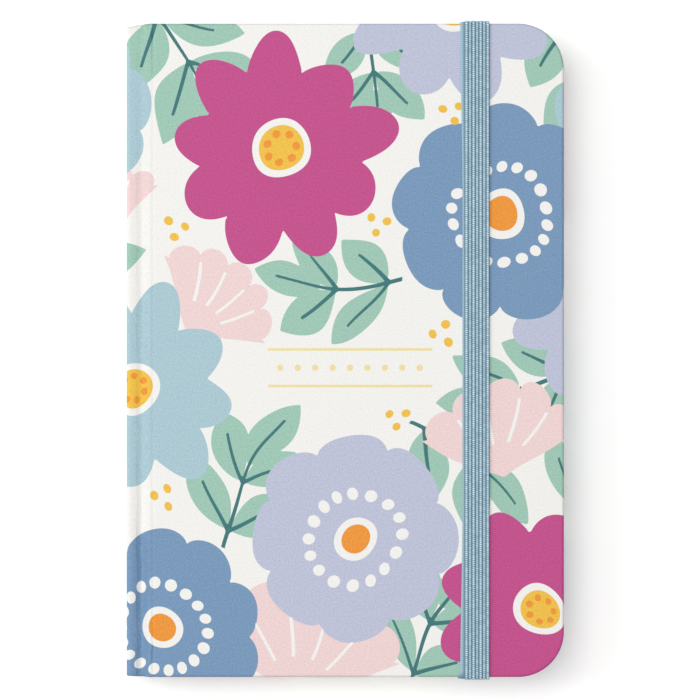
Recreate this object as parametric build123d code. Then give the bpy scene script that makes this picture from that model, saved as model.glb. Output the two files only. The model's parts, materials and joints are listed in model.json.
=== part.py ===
from build123d import *

import os

# Pocket address book, case-bound, with an elastic closing strap. Millimetres, +Z up. The book lies
# closed on its back cover: +X runs from the spine to the fore-edge, +Y from the tail to the head, and
# the origin is the middle of the footprint on the table.

# Case
cover_width = 100.4
cover_height = 150.0
cover_corner_radius = 10.5
board_thickness = 2.0
cover_paper = 0.25
turn_in = 14.0
window_corner_radius = 2.0
panel_edge_radius = 0.4
spine_edge_radius = 0.9
spine_drop = 0.6
joint_width = 6.0
joint_depth = 1.0
joint_valley = 0.8
hollow_depth = 1.75

# Endpapers and leaves
endpaper = 0.2
square = 3.0
leaf_corner_radius = 8.0
sheet_gap = 0.05
cover_gap = 0.1
seat_gap = 0.05
section_thickness = 0.75
first_hinge = 1.5
hinge_gap = 0.1
tab_depth = 6.5
tab_corner_share = 0.16
pastedown_inset = 1.2
index_names = ["ab", "cd", "ef", "gh", "ij", "kl", "mn", "op", "qr", "st", "uv", "wx", "yz"]

# Sewing, lining and bands
thread_radius = 0.25
thread_spacing = 32.0
thread_count = 5
lining_thickness = 0.35
lining_margin = 6.0
band_radius = 0.7

# Elastic strap
strap_width = 6.6
strap_thickness = 0.7
strap_inset = 20.5
strap_clearance = 0.05
anchor_length = 18.0
anchor_bend = 0.6
recess_side_gap = 0.15

# Levels and lines that follow from the sizes above
spine_face_x = -cover_width / 2
fore_edge_x = cover_width / 2
head_y = cover_height / 2
spine_head_y = head_y - spine_drop
joint_x = spine_face_x + joint_width
spine_inner_x = spine_face_x + cover_paper + board_thickness
block_back_x = spine_inner_x + hollow_depth
leaf_fore_x = fore_edge_x - square
leaf_head_y = head_y - square
strap_x = fore_edge_x - strap_inset

section_pitch = section_thickness + sheet_gap
hinge_step = 0.8 * section_thickness
section_count = len(index_names) + 1
tab_height = 2 * leaf_head_y / len(index_names)
tab_corner_radius = tab_corner_share * tab_height
strap_exit_y = head_y + strap_clearance + strap_thickness / 2 - 1.2 * anchor_bend

back_board_z = cover_paper
back_turn_in_z = back_board_z + board_thickness
back_pastedown_z = back_turn_in_z + cover_paper
back_flyleaf_z = back_pastedown_z + endpaper + sheet_gap
block_z = back_flyleaf_z + endpaper + sheet_gap
front_flyleaf_z = block_z + section_count * section_pitch
front_pastedown_z = front_flyleaf_z + endpaper + cover_gap
front_turn_in_z = front_pastedown_z + endpaper
front_board_z = front_turn_in_z + cover_paper
front_paper_z = front_board_z + board_thickness
book_top_z = front_paper_z + cover_paper

# Axis of the front cover, in the pressed groove at half the depth of the panel
cover_hinge_x = spine_inner_x + 0.6
cover_hinge_z = book_top_z - joint_depth - 0.2

# The flyleaf turns about a line a little nearer the spine than the first section
flyleaf_hinge_x = block_back_x + first_hinge - 0.4
flyleaf_hinge_z = front_flyleaf_z + endpaper / 2


def section_z(row):
    """Lower face of a section; row 0 is the top one, under the front flyleaf."""
    return block_z + (section_count - 1 - row) * section_pitch


def section_hinge(row):
    """Line (x, z) about which the leaves of a section turn, stepped so that they can stand side by side."""
    return block_back_x + first_hinge + row * hinge_step, section_z(row) + section_thickness / 2


def block_between(x_low, x_high, y_low, y_high, z_low, z_high):
    """Rectangular block given by its two corners."""
    size = Box(x_high - x_low, y_high - y_low, z_high - z_low)
    return Pos((x_low + x_high) / 2, (y_low + y_high) / 2, (z_low + z_high) / 2) * size


def plate(corners, radii, z_low, z_high):
    """Flat plate from the corners of its plan, each rounded by its own radius."""
    outline = FilletPolyline(*corners, radius=radii, close=True)
    face = make_face(outline.edges())
    return Pos(0, 0, z_low) * extrude(face, z_high - z_low, dir=(0, 0, 1))


def sheet(x_low, x_high, y_high, radius, z_low, z_high):
    """Plate, even about the middle of the height, with both fore-edge corners rounded."""
    corners = [(x_low, -y_high), (x_high, -y_high), (x_high, y_high), (x_low, y_high)]
    return plate(corners, [0, radius, radius, 0], z_low, z_high)


def rod_along_y(x, z, radius, half_length):
    """Round bar along Y, centred on the middle of the height."""
    return Pos(x, 0, z) * Rot(90, 0, 0) * Cylinder(radius, 2 * half_length)


def rod_along_z(x, y, radius, z_low, z_high):
    """Round bar along Z."""
    return Pos(x, y, (z_low + z_high) / 2) * Cylinder(radius, z_high - z_low)


def cover_board(z_low):
    """Grey board of one cover, inside its paper."""
    radius = cover_corner_radius - cover_paper
    return sheet(joint_x, fore_edge_x - cover_paper, head_y - cover_paper, radius, z_low,
                 z_low + board_thickness)


def turn_in_window(z_low, clearance):
    """The area of a cover's inner face that the turned-in paper leaves free."""
    return sheet(joint_x, fore_edge_x - turn_in - clearance, head_y - turn_in - clearance,
                 window_corner_radius, z_low, z_low + cover_paper)


def wrapped_cover(z_low, board, window):
    """Printed paper of one cover: outer face, three wrapped edges and the turned-in border."""
    depth = 2 * cover_paper + board_thickness
    body = sheet(joint_x, fore_edge_x, head_y, cover_corner_radius, z_low, z_low + depth)
    flat_faces = body.faces().filter_by(Axis.Z)
    rims = [edge for face in flat_faces for edge in face.edges() if edge.center().X > joint_x + 0.01]
    return fillet(rims, panel_edge_radius) - board - window


def strap_recess(side):
    """Shallow channel in the back cover that takes one end of the strap (side 1 head, -1 tail)."""
    half = strap_width / 2 + recess_side_gap
    far = head_y + cover_paper
    near = strap_exit_y - anchor_length - recess_side_gap
    low = back_pastedown_z - strap_thickness - strap_clearance
    ends = sorted([side * near, side * far])
    return block_between(strap_x - half, strap_x + half, ends[0], ends[1], low, back_pastedown_z)


def joint_strip(outer_z, inward):
    """Paper over one joint: a pressed valley between the spine and the board's edge.

    inward is -1 for the front cover (the valley goes down) and 1 for the back cover.
    """
    start = (spine_inner_x, 0, outer_z)
    valley = (spine_inner_x + joint_valley, 0, outer_z + inward * joint_depth)
    end = (joint_x, 0, outer_z)
    outer = Spline(start, valley, end, tangents=[(1, 0, 0), (1, 0, 0)])
    inner = Pos(0, 0, inward * cover_paper) * outer
    near = Line(outer @ 0, inner @ 0)
    far = Line(outer @ 1, inner @ 1)
    face = make_face([*outer.edges(), *inner.edges(), near, far])
    strip = extrude(face, head_y, dir=(0, 1, 0), both=True)
    corners = [(spine_inner_x, -spine_head_y), (joint_x, -head_y), (joint_x, head_y),
               (spine_inner_x, spine_head_y)]
    return strip & plate(corners, [0, 0, 0, 0], 0, book_top_z)


def endpaper_fold(pastedown_z, flyleaf_z):
    """Endpaper where it folds at the shoulder: one leg runs to the pastedown, one to the flyleaf."""
    low = min(pastedown_z, flyleaf_z)
    high = max(pastedown_z, flyleaf_z) + endpaper
    radius = (high - low) / 2
    fold_x = block_back_x + radius + seat_gap
    leg_end = joint_x + pastedown_inset
    short_end = flyleaf_hinge_x - endpaper / 2 - hinge_gap
    outer = rod_along_y(fold_x, low + radius, radius, leaf_head_y)
    inner = rod_along_y(fold_x, low + radius, radius - endpaper, leaf_head_y)
    left_half = block_between(fold_x - 1, fold_x, -head_y, head_y, low - 1, high + 1)
    bend = (outer - inner) & left_half
    long_leg = block_between(fold_x, leg_end, -leaf_head_y, leaf_head_y, pastedown_z,
                             pastedown_z + endpaper)
    short_leg = block_between(fold_x, short_end, -leaf_head_y, leaf_head_y, flyleaf_z,
                              flyleaf_z + endpaper)
    return bend + long_leg + short_leg


def pastedown(z_low):
    """Endpaper leaf glued to the inside of a cover."""
    return sheet(joint_x + pastedown_inset, leaf_fore_x, leaf_head_y, leaf_corner_radius, z_low,
                 z_low + endpaper)


def flyleaf(z_low):
    """Free endpaper leaf with a round hinge end."""
    leaf = sheet(flyleaf_hinge_x, leaf_fore_x, leaf_head_y, leaf_corner_radius, z_low, z_low + endpaper)
    return leaf + rod_along_y(flyleaf_hinge_x, z_low + endpaper / 2, endpaper / 2, leaf_head_y)


def index_section(row):
    """Leaves of one index section, full width down to its own tab and cut back below it."""
    hinge_x, hinge_z = section_hinge(row)
    low = section_z(row)
    high = low + section_thickness
    tab_y = leaf_head_y - (row + 1) * tab_height
    if row < len(index_names) - 1:
        cut_x = leaf_fore_x - tab_depth
        corners = [(hinge_x, -leaf_head_y), (cut_x, -leaf_head_y), (cut_x, tab_y), (leaf_fore_x, tab_y),
                   (leaf_fore_x, leaf_head_y), (hinge_x, leaf_head_y)]
        radii = [0, tab_corner_radius, tab_corner_radius, tab_corner_radius, leaf_corner_radius, 0]
        leaves = plate(corners, radii, low, high)
    else:
        leaves = sheet(hinge_x, leaf_fore_x, leaf_head_y, leaf_corner_radius, low, high)
    return leaves + rod_along_y(hinge_x, hinge_z, section_thickness / 2, leaf_head_y)


def sewn_fold(row):
    """Bound back of one section, from its rounded fold to the line where its leaves flex."""
    low = section_z(row)
    radius = section_thickness / 2
    hinge_x = section_hinge(row)[0]
    flat = block_between(block_back_x + radius, hinge_x - radius - hinge_gap, -leaf_head_y, leaf_head_y,
                         low, low + section_thickness)
    return flat + rod_along_y(block_back_x + radius, low + radius, radius, leaf_head_y)


def page_band(side):
    """Woven band over one end of the book block's back: a bead and the tape that carries it."""
    top = front_flyleaf_z - sheet_gap
    tape_x = block_back_x - 2 * thread_radius - seat_gap
    bead_y = side * (leaf_head_y + band_radius + seat_gap)
    bead = rod_along_z(tape_x - lining_thickness + band_radius, bead_y, band_radius, block_z, top)
    ends = sorted([side * (leaf_head_y - lining_margin + 0.2), bead_y])
    tape = block_between(tape_x - lining_thickness, tape_x, ends[0], ends[1], block_z, top)
    return bead + tape


def strap_anchor(side):
    """Glued end of the strap, flat in its channel under the back pastedown."""
    ends = sorted([side * (strap_exit_y - anchor_length), side * strap_exit_y])
    return block_between(strap_x - strap_width / 2, strap_x + strap_width / 2, ends[0], ends[1],
                         back_pastedown_z - strap_thickness, back_pastedown_z)


def elastic_strap():
    """Strap along its route: out of the back cover's edge, up past the pages and over the front."""
    half = strap_thickness / 2
    pocket_z = back_pastedown_z - half
    out_y = head_y + strap_clearance + half
    top_z = book_top_z + strap_clearance + half
    head_side = [(strap_exit_y, pocket_z), (out_y, pocket_z), (out_y, top_z)]
    route = head_side + [(-y, z) for y, z in reversed(head_side)]
    points = [(strap_x, y, z) for y, z in route]
    over_edge = panel_edge_radius + half + 0.1
    path = FilletPolyline(*points, radius=[anchor_bend, over_edge, over_edge, anchor_bend])
    ribbon = Plane(origin=path @ 0, x_dir=(1, 0, 0), z_dir=path % 0) * Rectangle(strap_width, strap_thickness)
    return sweep(ribbon, path=path)


def make_case():
    """Boards, papers and filler sheets of the case."""
    front_board = cover_board(front_board_z)
    front_window = turn_in_window(front_turn_in_z, 0)
    recesses = strap_recess(1) + strap_recess(-1)
    plain_back_board = cover_board(back_board_z)
    back_window = turn_in_window(back_turn_in_z, 0)

    spine_board = block_between(spine_face_x + cover_paper, spine_inner_x, -spine_head_y + cover_paper,
                                spine_head_y - cover_paper, cover_paper, front_paper_z)
    spine_board = fillet(spine_board.edges().filter_by(Axis.Y).group_by(Axis.X)[0],
                         spine_edge_radius - cover_paper)
    flap_x = spine_inner_x + cover_paper
    spine_body = block_between(spine_face_x, flap_x, -spine_head_y, spine_head_y, 0, book_top_z)
    spine_body = fillet(spine_body.edges().filter_by(Axis.Y).group_by(Axis.X)[0], spine_edge_radius)
    flap_reach = spine_head_y - turn_in
    flap_low = joint_depth + 2 * cover_paper
    spine_window = block_between(spine_inner_x, flap_x, -flap_reach, flap_reach, 0, book_top_z)
    low_corner = block_between(spine_inner_x, flap_x, -head_y, head_y, 0, flap_low)
    high_corner = block_between(spine_inner_x, flap_x, -head_y, head_y, book_top_z - flap_low, book_top_z)

    return {
        "front_board": front_board,
        "back_board": plain_back_board - recesses,
        "spine_board": spine_board,
        "front_cover_paper": wrapped_cover(front_turn_in_z, front_board, front_window),
        "back_cover_paper": wrapped_cover(0, plain_back_board, back_window) - recesses,
        "spine_cover_paper": spine_body - spine_board - spine_window - low_corner - high_corner,
        "front_joint_paper": joint_strip(book_top_z, -1),
        "back_joint_paper": joint_strip(0, 1),
        "front_board_filler": turn_in_window(front_turn_in_z, 0.1),
        "back_board_filler": turn_in_window(back_turn_in_z, 0.1) - recesses,
    }


def make_endpapers():
    """Pastedowns, folds and flyleaves."""
    return {
        "front_pastedown": pastedown(front_pastedown_z),
        "front_endpaper_fold": endpaper_fold(front_pastedown_z, front_flyleaf_z),
        "front_flyleaf": flyleaf(front_flyleaf_z),
        "back_pastedown": pastedown(back_pastedown_z),
        "back_endpaper_fold": endpaper_fold(back_pastedown_z, back_flyleaf_z),
        "back_flyleaf": flyleaf(back_flyleaf_z),
    }


def make_block():
    """Sewn sections, threads, lining and bands."""
    block_top = front_flyleaf_z - sheet_gap
    thread_x = block_back_x - thread_radius - 0.02
    first_thread = -thread_spacing * (thread_count - 1) / 2
    threads = [rod_along_z(thread_x, first_thread + step * thread_spacing, thread_radius, block_z, block_top)
               for step in range(thread_count)]
    lining_x = block_back_x - 2 * thread_radius - seat_gap
    lining_reach = leaf_head_y - lining_margin
    last_x, last_z = section_hinge(section_count - 1)
    birthday_low = section_z(section_count - 1)
    birthday = sheet(last_x, leaf_fore_x, leaf_head_y, leaf_corner_radius, birthday_low,
                     birthday_low + section_thickness)

    pieces = {
        "sewn_folds": Compound(children=[sewn_fold(row) for row in range(section_count)]),
        "sewing_threads": Compound(children=threads),
        "spine_lining": block_between(lining_x - lining_thickness, lining_x, -lining_reach, lining_reach,
                                      block_z, block_top),
        "head_band": page_band(1),
        "tail_band": page_band(-1),
        "birthday_section": birthday + rod_along_y(last_x, last_z, section_thickness / 2, leaf_head_y),
    }
    for row, name in enumerate(index_names):
        pieces["index_section_" + name] = index_section(row)
    return pieces


def make_closure():
    """Elastic strap and its two glued ends."""
    return {
        "elastic_strap": elastic_strap(),
        "strap_anchor_head": strap_anchor(1),
        "strap_anchor_tail": strap_anchor(-1),
    }


def main():
    os.makedirs("parts", exist_ok=True)
    pieces = {**make_case(), **make_endpapers(), **make_block(), **make_closure()}
    for name, solid in pieces.items():
        export_step(solid, "parts/" + name + ".step")


if __name__ == "__main__":
    main()
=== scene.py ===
"""Looks of a pocket address book: printed case, ribbed elastic strap, step-cut leaves and endpapers.

Everything is worked out in millimetres in the CAD frame (+X spine to fore-edge, +Y tail to head, +Z back
cover to front cover) and turned to metres where a mesh is made.
"""

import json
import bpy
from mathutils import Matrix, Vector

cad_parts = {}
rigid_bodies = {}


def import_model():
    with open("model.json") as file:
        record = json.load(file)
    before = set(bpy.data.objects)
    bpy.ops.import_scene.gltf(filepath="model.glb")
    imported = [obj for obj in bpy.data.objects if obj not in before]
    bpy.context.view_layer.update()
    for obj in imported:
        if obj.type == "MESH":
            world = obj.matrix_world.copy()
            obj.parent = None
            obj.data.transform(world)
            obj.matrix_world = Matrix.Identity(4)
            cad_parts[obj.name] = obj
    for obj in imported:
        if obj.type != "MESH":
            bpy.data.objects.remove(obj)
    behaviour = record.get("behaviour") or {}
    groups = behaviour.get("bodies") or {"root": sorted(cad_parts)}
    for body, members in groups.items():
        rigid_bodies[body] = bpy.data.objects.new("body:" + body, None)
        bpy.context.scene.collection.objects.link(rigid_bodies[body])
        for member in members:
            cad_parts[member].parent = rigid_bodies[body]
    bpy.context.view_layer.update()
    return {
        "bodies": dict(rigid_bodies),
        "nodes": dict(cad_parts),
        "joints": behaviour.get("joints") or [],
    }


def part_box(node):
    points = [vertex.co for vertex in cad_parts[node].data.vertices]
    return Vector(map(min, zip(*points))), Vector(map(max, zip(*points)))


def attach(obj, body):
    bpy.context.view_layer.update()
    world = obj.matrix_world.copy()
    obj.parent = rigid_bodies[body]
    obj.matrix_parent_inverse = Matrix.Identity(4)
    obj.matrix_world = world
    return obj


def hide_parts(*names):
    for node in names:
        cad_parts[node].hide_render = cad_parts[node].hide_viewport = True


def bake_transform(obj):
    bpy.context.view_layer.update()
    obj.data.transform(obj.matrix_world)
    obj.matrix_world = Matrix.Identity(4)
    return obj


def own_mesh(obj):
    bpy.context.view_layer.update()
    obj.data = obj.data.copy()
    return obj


bl_info = {
    "name": "Address Book Looks",
    "version": (1, 0, 0),
    "blender": (4, 5, 0),
    "location": "View3D > Sidebar > Address Book",
    "description": "Builds the printed case, leaves and strap of a pocket address book around its frame",
    "category": "Object",
}

import bmesh
import bpy
import numpy as np

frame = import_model()

MM = 0.001
ROOT = "back_cover_and_block"
JOINT_POS = {joint["name"]: np.array(joint["pos_m"]) / MM for joint in frame["joints"]}


def box_mm(node):
    """Lowest and highest corner of a CAD node, in millimetres."""
    low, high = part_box(node)
    return np.array(low) / MM, np.array(high) / MM


FRONT_LOW, FRONT_HIGH = box_mm("front_cover_paper")
BACK_LOW, BACK_HIGH = box_mm("back_cover_paper")
SPINE_LOW, SPINE_HIGH = box_mm("spine_cover_paper")
STRAP_LOW, STRAP_HIGH = box_mm("elastic_strap")
LEAF_LOW, LEAF_HIGH = box_mm("birthday_section")
FOLD_LOW, FOLD_HIGH = box_mm("sewn_folds")
SPINE_INNER_X = box_mm("spine_board")[1][0]
SECTION_NAMES = sorted(body for body in frame["bodies"] if body.startswith("index_section_"))


def linear(code):
    """sRGB hex colour to linear RGBA."""
    channels = np.array([int(code[place:place + 2], 16) for place in (1, 3, 5)]) / 255
    low = channels / 12.92
    high = ((channels + 0.055) / 1.055) ** 2.4
    return (*np.where(channels <= 0.04045, low, high).tolist(), 1.0)


def colour(name, code, words):
    """Colour property whose default is an sRGB hex value."""
    return bpy.props.FloatVectorProperty(name=name, description=words, subtype="COLOR", size=4, min=0,
                                         max=1, default=linear(code))


def size(name, millimetres, words):
    """Length property given in millimetres and kept in metres."""
    return bpy.props.FloatProperty(name=name, description=words, subtype="DISTANCE", unit="LENGTH",
                                   default=millimetres * MM, precision=5)


def amount(name, default, words, unit="NONE"):
    """Plain number property."""
    return bpy.props.FloatProperty(name=name, description=words, default=default, unit=unit)


class CasePrint(bpy.types.PropertyGroup):
    """Colours and form of the printed case."""
    ground: colour("Ground", "#F4F3EF", "Unprinted ground of the cover paper")
    leaf: colour("Leaf", "#A1CAB8", "Leaflets of the sprigs")
    rib: colour("Rib", "#3F7A7A", "Stems and leaf ribs")
    pink: colour("Pink", "#F1D6D5", "Fan blossoms")
    lilac: colour("Lilac", "#C0C5DB", "Scalloped blossoms")
    sky: colour("Sky", "#ADCBD5", "Round daisies, light")
    blue: colour("Blue", "#7A9BBE", "Scalloped blossoms, mid blue")
    magenta: colour("Magenta", "#C74F8E", "Round daisies, strong")
    mustard: colour("Mustard", "#F3C347", "Flower hearts and dots")
    orange: colour("Orange", "#F39A38", "Rings in the flower hearts")
    foil: colour("Foil", "#EFDDA0", "Pale foil of the cover's rules")
    edge_radius: size("Edge radius", 0.6, "Rounding of the paper over the board's edges")
    corner_radius: size("Corner radius", 10.5, "Rounding of the fore-edge corners in plan")
    spine_radius: size("Spine radius", 0.9, "Rounding of the spine's two long edges")
    cell: size("Print cell", 0.42, "Spacing of the grid that carries the print")
    shoulder: size("Shoulder", 0.35, "How far the spine's shoulder rolls down towards the groove")
    groove: size("Groove depth", 1.13, "Depth of the pressed joint beside the spine")
    crease: size("Crease depth", 0.19, "Depth of the fine crease at the board's edge")
    repeat: size("Repeat", 136.0, "Width after which the print repeats round the case")


class StrapKnit(bpy.types.PropertyGroup):
    """Colours and form of the knitted elastic."""
    # Painted light: the light rib colour, near white, stands for the highlight on the crests and the groove
    # colour for the shade between the cords; between them lies the yarn's blue.
    light: colour("Light rib", "#E9F9FF", "Covered cords that stand proud")
    middle: colour("Middle rib", "#8FB1C3", "Cords that lie lower")
    dark: colour("Groove", "#365468", "Shade between the cords")
    rib_pitch: size("Rib pitch", 0.81, "Distance from cord to cord")
    stitch_pitch: size("Stitch pitch", 0.478, "Length of one stitch along a cord")
    neck: size("Neck", 0.5, "How much narrower the strap is in the middle of its front run")


class LeafStock(bpy.types.PropertyGroup):
    """Colours and form of the leaves and endpapers."""
    page: colour("Page", "#F6F2E8", "Book paper of the leaves")
    rule: colour("Rule", "#B9C6CF", "Printed writing rules")
    endpaper: colour("Endpaper", "#A8CBD7", "Plain dyed endpaper")
    ink: colour("Ink", "#3F6276", "Letters on the index tabs")
    leaves: bpy.props.IntProperty(name="Leaves", description="Leaves drawn in each section", default=6,
                                  min=2)
    bend: size("Bend", 13.0, "Width over which a leaf bends out of the gutter")
    corner_radius: size("Corner radius", 8.0, "Rounding of the leaves' fore-edge corners")
    tab_depth: size("Tab depth", 6.5, "How far the leaves are cut back beside the tabs")
    tab_radius: size("Tab radius", 1.8, "Rounding of the tab corners")
    rule_pitch: size("Rule pitch", 7.0, "Distance between writing rules")


class StageLight(bpy.types.PropertyGroup):
    """Camera, floor and light."""
    floor: colour("Floor", "#FBFBFA", "Plain pale floor")
    glow: amount("Glow", 0.21, "Light given off by the lit table")
    lens: amount("Lens", 200.0, "Focal length in millimetres")
    frame_width: size("Frame width", 160.6, "Width of the picture at the front cover")
    offset_x: size("Offset across", 1.1, "Picture centre to the right of the book's centre")
    offset_y: size("Offset up", 0.07, "Picture centre above the book's centre")
    sky_strength: amount("Sky", 0.46, "Strength of the white surround")
    key_watts: amount("Key", 7.0, "Power of the soft lamp overhead", "POWER")
    side_watts: amount("Side", 10.4, "Power of the low lamp at the left", "POWER")


def add_node(tree, kind, links=None, inputs=None, **settings):
    """Adds a node with its settings, input values and incoming links."""
    node = tree.nodes.new(kind)
    for key, value in settings.items():
        setattr(node, key, value)
    for key, value in (inputs or {}).items():
        node.inputs[key].default_value = value
    for key, source in (links or {}).items():
        tree.links.new(source, node.inputs[key])
    return node


def new_material(name, inputs):
    """Node material with a Principled surface and its even values; returns it, its tree and the shader."""
    material = bpy.data.materials.new(name)
    material.use_nodes = True
    tree = material.node_tree
    tree.nodes.clear()
    shader = add_node(tree, "ShaderNodeBsdfPrincipled", inputs=inputs)
    add_node(tree, "ShaderNodeOutputMaterial", links={"Surface": shader.outputs["BSDF"]})
    return material, tree, shader


def printed_paper(look):
    """Matt laminated cover paper, offset printed: flat inks with a faint fibre mottle and no gloss, and
    painted shade that darkens it where the paper is drawn over the board's edges. The mottle sinks into dark
    inks most.

    Each ink has a field on the mesh, positive where it prints; a narrow ramp about zero gives its edge.
    """
    material, tree, shader = new_material("printed_matt_paper", {"IOR": 1.45, "Specular IOR Level": 0.3})
    edge = 0.03
    # Real fibres are finer than this; they are drawn coarse enough to show.
    fibre_mm = 0.4
    place = add_node(tree, "ShaderNodeTexCoord")
    paint = None
    foil_mask = None
    for ink in PRINT_ORDER:
        field = add_node(tree, "ShaderNodeAttribute", attribute_name="ink_" + ink)
        mask = add_node(tree, "ShaderNodeMapRange", links={"Value": field.outputs["Fac"]},
                        inputs={"From Min": -edge, "From Max": edge})
        tint = look.ground if ink == "cream" else getattr(look, ink)
        layer = add_node(tree, "ShaderNodeMix", data_type="RGBA", links={"Factor": mask.outputs["Result"]},
                         inputs={"A": look.ground, "B": tint})
        if paint is not None:
            tree.links.new(paint, layer.inputs["A"])
        paint = layer.outputs["Result"]
        foil_mask = mask.outputs["Result"]
    fibre = add_node(tree, "ShaderNodeTexNoise", links={"Vector": place.outputs["Object"]},
                     inputs={"Scale": 1 / (fibre_mm * MM), "Detail": 3.0, "Roughness": 0.7})
    mottle = add_node(tree, "ShaderNodeMapRange", links={"Value": fibre.outputs["Fac"]},
                      inputs={"From Min": 0.3, "From Max": 0.7, "To Min": 0.78, "To Max": 1.13})
    light = add_node(tree, "ShaderNodeRGBToBW", links={"Color": paint})
    soak = add_node(tree, "ShaderNodeMapRange", links={"Value": light.outputs["Val"]},
                    inputs={"From Min": 0.4, "From Max": 0.85, "To Min": 1.0, "To Max": 0.4})
    inked = add_node(tree, "ShaderNodeMix", data_type="RGBA", blend_type="MULTIPLY",
                     links={"Factor": soak.outputs["Result"], "A": paint, "B": mottle.outputs["Result"]})
    # Painted shade: a field on the mesh darkens the ink by up to a third along the rounded board edges, the
    # joint's crease and the spine's ends.
    painted_shade = add_node(tree, "ShaderNodeAttribute", attribute_name="painted_shade")
    painted_darkening = add_node(tree, "ShaderNodeMapRange", links={"Value": painted_shade.outputs["Fac"]},
                      inputs={"To Min": 1.0, "To Max": 0.68})
    with_painted_shade = add_node(tree, "ShaderNodeMix", data_type="RGBA", blend_type="MULTIPLY", inputs={"Factor": 1.0},
                    links={"A": inked.outputs["Result"], "B": painted_darkening.outputs["Result"]})
    tree.links.new(with_painted_shade.outputs["Result"], shader.inputs["Base Color"])
    sheen = add_node(tree, "ShaderNodeMapRange", links={"Value": foil_mask},
                     inputs={"To Min": 0.62, "To Max": 0.34})
    tree.links.new(sheen.outputs["Result"], shader.inputs["Roughness"])
    grain = add_node(tree, "ShaderNodeBump", links={"Height": fibre.outputs["Fac"]},
                     inputs={"Strength": 0.12, "Distance": 0.02 * MM})
    tree.links.new(grain.outputs["Normal"], shader.inputs["Normal"])
    return material


def knitted_elastic(look):
    """Polyester-covered rubber cords knitted side by side, matt. The ramp runs from a painted shade colour in
    the grooves through the yarn's blue to a painted highlight colour on the crests."""
    material, tree, shader = new_material(
        "knitted_elastic", {"Roughness": 0.75, "Specular IOR Level": 0.2, "Sheen Weight": 0.15})
    shaded_tone = add_node(tree, "ShaderNodeAttribute", attribute_name="shaded_tone")
    # The ramp paints the shade dark and the crests near white.
    ramp = add_node(tree, "ShaderNodeValToRGB", links={"Fac": shaded_tone.outputs["Fac"]})
    stops = ramp.color_ramp.elements
    stops[0].color = look.dark
    stops[1].color = look.light
    middle = stops.new(0.5)
    middle.color = look.middle
    tree.links.new(ramp.outputs["Color"], shader.inputs["Base Color"])
    return material


def book_paper(look):
    """Uncoated cream book paper with fine printed rules across each page; tabs are tinted by the mesh.

    A rule prints where the height's share of the rule pitch is below the line's width, between the margins.
    """
    material, tree, shader = new_material("ruled_book_paper", {"Roughness": 0.8, "Specular IOR Level": 0.25})
    line_width = 0.25
    left_margin, right_margin = -32.0, 34.0
    cut_line = LEAF_HIGH[0] - look.tab_depth / MM
    place = add_node(tree, "ShaderNodeUVMap", uv_map="sheet")
    split = add_node(tree, "ShaderNodeSeparateXYZ", links={"Vector": place.outputs["UV"]})
    tint = add_node(tree, "ShaderNodeAttribute", attribute_name="tint")
    pitch = look.rule_pitch / MM
    row = add_node(tree, "ShaderNodeMath", operation="MULTIPLY", links={0: split.outputs["Y"]},
                   inputs={1: 1 / pitch})
    part = add_node(tree, "ShaderNodeMath", operation="FRACT", links={0: row.outputs["Value"]})
    line = add_node(tree, "ShaderNodeMath", operation="LESS_THAN", links={0: part.outputs["Value"]},
                    inputs={1: line_width / pitch})
    right = add_node(tree, "ShaderNodeMath", operation="LESS_THAN", links={0: split.outputs["X"]},
                     inputs={1: right_margin})
    left = add_node(tree, "ShaderNodeMath", operation="GREATER_THAN", links={0: split.outputs["X"]},
                    inputs={1: left_margin})
    inside = add_node(tree, "ShaderNodeMath", operation="MULTIPLY",
                      links={0: right.outputs["Value"], 1: left.outputs["Value"]})
    ruled = add_node(tree, "ShaderNodeMath", operation="MULTIPLY",
                     links={0: inside.outputs["Value"], 1: line.outputs["Value"]})
    page = add_node(tree, "ShaderNodeMix", data_type="RGBA", links={"Factor": ruled.outputs["Value"]},
                    inputs={"A": look.page, "B": look.rule})
    beyond = add_node(tree, "ShaderNodeMath", operation="GREATER_THAN", links={0: split.outputs["X"]},
                      inputs={1: cut_line})
    tabbed = add_node(tree, "ShaderNodeMix", data_type="RGBA",
                      links={"Factor": beyond.outputs["Value"], "A": page.outputs["Result"],
                             "B": tint.outputs["Color"]})
    tree.links.new(tabbed.outputs["Result"], shader.inputs["Base Color"])
    return material


def plain_stock(name, tint, grain_mm, depth):
    """Plain matt stock whose colour varies a little with its fibres, threads or chips, which are drawn as
    coarse as they need to show."""
    material, tree, shader = new_material(name, {"Roughness": 0.8, "Specular IOR Level": 0.25})
    place = add_node(tree, "ShaderNodeTexCoord")
    noise = add_node(tree, "ShaderNodeTexNoise", links={"Vector": place.outputs["Object"]},
                     inputs={"Scale": 1 / (grain_mm * MM), "Detail": 3.0})
    shade = add_node(tree, "ShaderNodeMapRange", links={"Value": noise.outputs["Fac"]},
                     inputs={"From Min": 0.3, "From Max": 0.7, "To Min": 1 - depth,
                             "To Max": 1 + depth / 3})
    mix = add_node(tree, "ShaderNodeMix", data_type="RGBA", blend_type="MULTIPLY",
                   links={"B": shade.outputs["Result"]}, inputs={"Factor": 1.0, "A": tint})
    tree.links.new(mix.outputs["Result"], shader.inputs["Base Color"])
    return material


def striped_band(look):
    """Wound two-colour silk over a cord: satin threads that change colour every few turns."""
    material, tree, shader = new_material("wound_silk_band", {"Roughness": 0.45})
    stripe = add_node(tree, "ShaderNodeAttribute", attribute_name="stripe")
    mix = add_node(tree, "ShaderNodeMix", data_type="RGBA", links={"Factor": stripe.outputs["Fac"]},
                   inputs={"A": look.page, "B": look.endpaper})
    tree.links.new(mix.outputs["Result"], shader.inputs["Base Color"])
    return material


def recolour(nodes, material):
    """Gives CAD nodes that stay as they are their material."""
    for node in nodes:
        piece = frame["nodes"][node]
        piece.data.materials.clear()
        piece.data.materials.append(material)


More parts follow.
